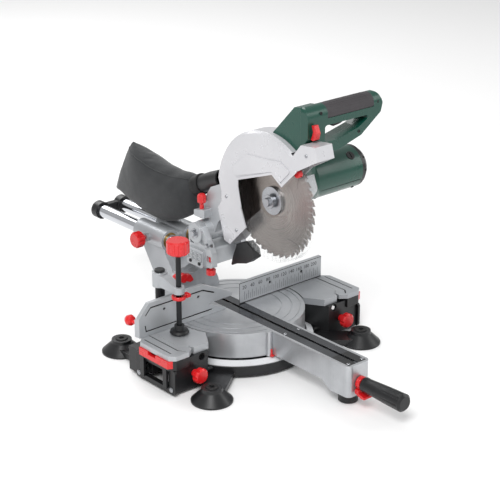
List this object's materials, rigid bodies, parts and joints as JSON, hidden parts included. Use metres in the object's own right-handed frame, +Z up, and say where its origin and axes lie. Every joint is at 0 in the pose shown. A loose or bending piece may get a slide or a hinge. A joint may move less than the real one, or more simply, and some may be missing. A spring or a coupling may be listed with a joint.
{
  "type": "sliding mitre saw",
  "caption": "Sliding compound mitre saw on a wide black base with a swivelling table, tall sliding fence, work clamp, twin rails, dust bag and D-handle.",
  "frame": {"origin": "centre of the four bench bolt holes, on the surface that the saw stands on", "axes": "+Z up, +X to the operator's right, +Y from the operator towards the rails"},
  "size_m": [0.478, 0.829, 0.512],
  "materials": {
    "silver_casting": "satin",
    "black_casting": "satin",
    "black_plastic": "textured",
    "teal_plastic": "satin",
    "silver_paint": "satin",
    "red_plastic": "satin",
    "grip_rubber": "matte",
    "chrome_steel": "polished",
    "steel": "brushed",
    "dark_iron": "satin",
    "copper_iron": "satin",
    "brass": "satin",
    "bag_cloth": "woven",
    "clear_guard": "clear"
  },
  "bodies": {
    "base": {"base_casting": "black_casting", "outrigger_feet": "black_casting", "end_frames": "black_plastic", "end_frame_screws": "steel", "table_plates": "silver_casting", "mitre_scale_ring": "silver_casting", "right_fence": "silver_casting", "pivot_bolt": "steel"},
    "left_fence": {"left_fence": "silver_casting"},
    "fence_knob": {"fence_knob": "red_plastic"},
    "extension_left": {"extension_top_left": "silver_casting", "extension_frame_left": "black_casting", "extension_strip_left": "red_plastic"},
    "extension_right": {"extension_top_right": "silver_casting", "extension_frame_right": "black_casting", "extension_strip_right": "red_plastic"},
    "lock_knob_left": {"lock_knob_left": "red_plastic"},
    "lock_knob_right": {"lock_knob_right": "red_plastic"},
    "turntable": {"turntable": "silver_casting", "insert_strips": "steel"},
    "mitre_grip": {"mitre_grip": "black_plastic"},
    "detent_lever": {"detent_lever": "red_plastic"},
    "arm_foot": {"arm_foot": "black_plastic"},
    "tilt": {"tilt_arm": "silver_casting", "rail_bushes": "brass"},
    "bevel_lever": {"bevel_lever": "red_plastic"},
    "slide_knob": {"slide_knob": "red_plastic"},
    "carriage": {"rails": "chrome_steel", "rail_bridge": "black_plastic", "rail_bracket": "silver_casting", "chop_pin": "steel"},
    "head_lock_pin": {"head_lock_pin": "red_plastic"},
    "head": {"head_arm": "silver_casting", "upper_guard": "silver_paint", "stator": "copper_iron", "bearings": "steel", "motor_housing": "teal_plastic", "brush_caps": "black_plastic", "motor_cap": "black_plastic", "handle_shells": "teal_plastic", "grip_cover": "grip_rubber", "dust_chute": "black_plastic", "dust_spout": "black_plastic", "dust_bag": "bag_cloth"},
    "depth_stop": {"depth_stop": "red_plastic"},
    "trigger": {"trigger": "black_plastic"},
    "lockoff_lever": {"lockoff_lever": "red_plastic"},
    "blade": {"blade": "steel", "drive_gear": "steel", "arbor": "steel", "blade_flanges": "steel", "arbor_bolt": "steel"},
    "rotor": {"armature": "copper_iron"},
    "lower_guard": {"lower_guard": "clear_guard", "guard_roller": "red_plastic"},
    "clamp_post": {"clamp_post": "dark_iron"},
    "clamp_arm": {"clamp_arm": "silver_casting"},
    "clamp_pad": {"clamp_pad": "black_plastic"},
    "clamp_screw": {"clamp_spindle": "dark_iron", "clamp_knob": "red_plastic"}
  },
  "joints": [
    {"name": "fence_slide", "type": "slide", "parent": "base", "child": "left_fence", "axis": [-1, 0, 0], "range_m": [0, 0.115]},
    {"name": "fence_knob_turn", "type": "hinge", "parent": "left_fence", "child": "fence_knob", "pos_m": [-0.224, 0.036, 0.104], "axis": [0, 1, 0], "range_deg": [-180, 180]},
    {"name": "extension_slide_left", "type": "slide", "parent": "base", "child": "extension_left", "axis": [-1, 0, 0], "range_m": [0, 0.14]},
    {"name": "extension_slide_right", "type": "slide", "parent": "base", "child": "extension_right", "axis": [1, 0, 0], "range_m": [0, 0.14]},
    {"name": "lock_turn_left", "type": "hinge", "parent": "base", "child": "lock_knob_left", "pos_m": [-0.182, -0.081, 0.034], "axis": [0, 1, 0], "range_deg": [-180, 180]},
    {"name": "lock_turn_right", "type": "hinge", "parent": "base", "child": "lock_knob_right", "pos_m": [0.182, -0.081, 0.034], "axis": [0, 1, 0], "range_deg": [-180, 180]},
    {"name": "mitre_swivel", "type": "hinge", "parent": "base", "child": "turntable", "pos_m": [0, 0.016, 0.08], "axis": [0, 0, 1], "range_deg": [-47, 47]},
    {"name": "mitre_grip_turn", "type": "hinge", "parent": "turntable", "child": "mitre_grip", "pos_m": [0, -0.316, 0.045], "axis": [0, 1, 0], "range_deg": [-180, 180]},
    {"name": "detent_press", "type": "hinge", "parent": "turntable", "child": "detent_lever", "pos_m": [0, -0.3225, 0.045], "axis": [-1, 0, 0], "range_deg": [0, 6], "stiffness_Nm_per_rad": 0.6, "springref_deg": -17.19},
    {"name": "arm_foot_turn", "type": "hinge", "parent": "turntable", "child": "arm_foot", "pos_m": [0, -0.289, 0.02], "axis": [0, 0, 1], "range_deg": [-180, 180]},
    {"name": "bevel_tilt", "type": "hinge", "parent": "turntable", "child": "tilt", "pos_m": [0, 0.016, 0.08], "axis": [0, -1, 0], "range_deg": [-2, 28]},
    {"name": "bevel_lever_turn", "type": "hinge", "parent": "turntable", "child": "bevel_lever", "pos_m": [-0.05, 0.12, 0.119], "axis": [0, 1, 0], "range_deg": [-40, 0]},
    {"name": "slide_knob_turn", "type": "hinge", "parent": "tilt", "child": "slide_knob", "pos_m": [-0.07, 0.211, 0.178], "axis": [1, 0, 0], "range_deg": [-180, 180]},
    {"name": "rail_slide", "type": "slide", "parent": "tilt", "child": "carriage", "axis": [0, 1, 0], "range_m": [-0.12, 0.06]},
    {"name": "head_lock_pull", "type": "slide", "parent": "carriage", "child": "head_lock_pin", "axis": [0, 0, 1], "range_m": [-0.008, 0]},
    {"name": "chop", "type": "hinge", "parent": "carriage", "child": "head", "pos_m": [0, 0.071, 0.225], "axis": [-1, 0, 0], "range_deg": [-45, 0], "stiffness_Nm_per_rad": 14, "springref_deg": 74.48},
    {"name": "depth_stop_turn", "type": "hinge", "parent": "head", "child": "depth_stop", "pos_m": [-0.033, 0.076, 0.27], "axis": [0, 0, 1], "range_deg": [-180, 180]},
    {"name": "trigger_press", "type": "slide", "parent": "head", "child": "trigger", "axis": [0, 0, 1], "range_m": [0, 0.004], "stiffness_N_per_m": 600, "springref_m": -0.004},
    {"name": "lockoff_press", "type": "hinge", "parent": "head", "child": "lockoff_lever", "pos_m": [0, -0.189, 0.46], "axis": [1, 0, 0], "range_deg": [0, 10], "stiffness_Nm_per_rad": 0.3, "springref_deg": -17.19},
    {"name": "blade_spin", "type": "hinge", "parent": "head", "child": "blade", "pos_m": [0, -0.089, 0.321], "axis": [1, 0, 0], "continuous": true},
    {"name": "rotor_spin", "type": "hinge", "parent": "head", "child": "rotor", "pos_m": [0, -0.115, 0.358], "axis": [1, 0, 0], "continuous": true},
    {"name": "guard_turn", "type": "hinge", "parent": "head", "child": "lower_guard", "pos_m": [0, -0.089, 0.321], "axis": [-1, 0, 0], "range_deg": [0, 162]},
    {"name": "clamp_lift", "type": "slide", "parent": "base", "child": "clamp_post", "axis": [0, 0, 1], "range_m": [0, 0.3]},
    {"name": "clamp_swivel", "type": "hinge", "parent": "clamp_post", "child": "clamp_arm", "pos_m": [-0.158, 0.046, 0.17], "axis": [0, 0, 1], "range_deg": [-30, 30]},
    {"name": "clamp_feed", "type": "slide", "parent": "clamp_arm", "child": "clamp_pad", "axis": [0, 0, 1], "range_m": [0, 0.06]},
    {"name": "clamp_screw_turn", "type": "hinge", "parent": "clamp_pad", "child": "clamp_screw", "pos_m": [-0.16, -0.012, 0.17], "axis": [0, 0, 1], "range_deg": [-180, 180]}
  ],
  "couplings": [
    {"joint": "rotor_spin", "follows": "blade_spin", "ratio": -5},
    {"joint": "guard_turn", "follows": "chop", "ratio": -3.6}
  ]
}
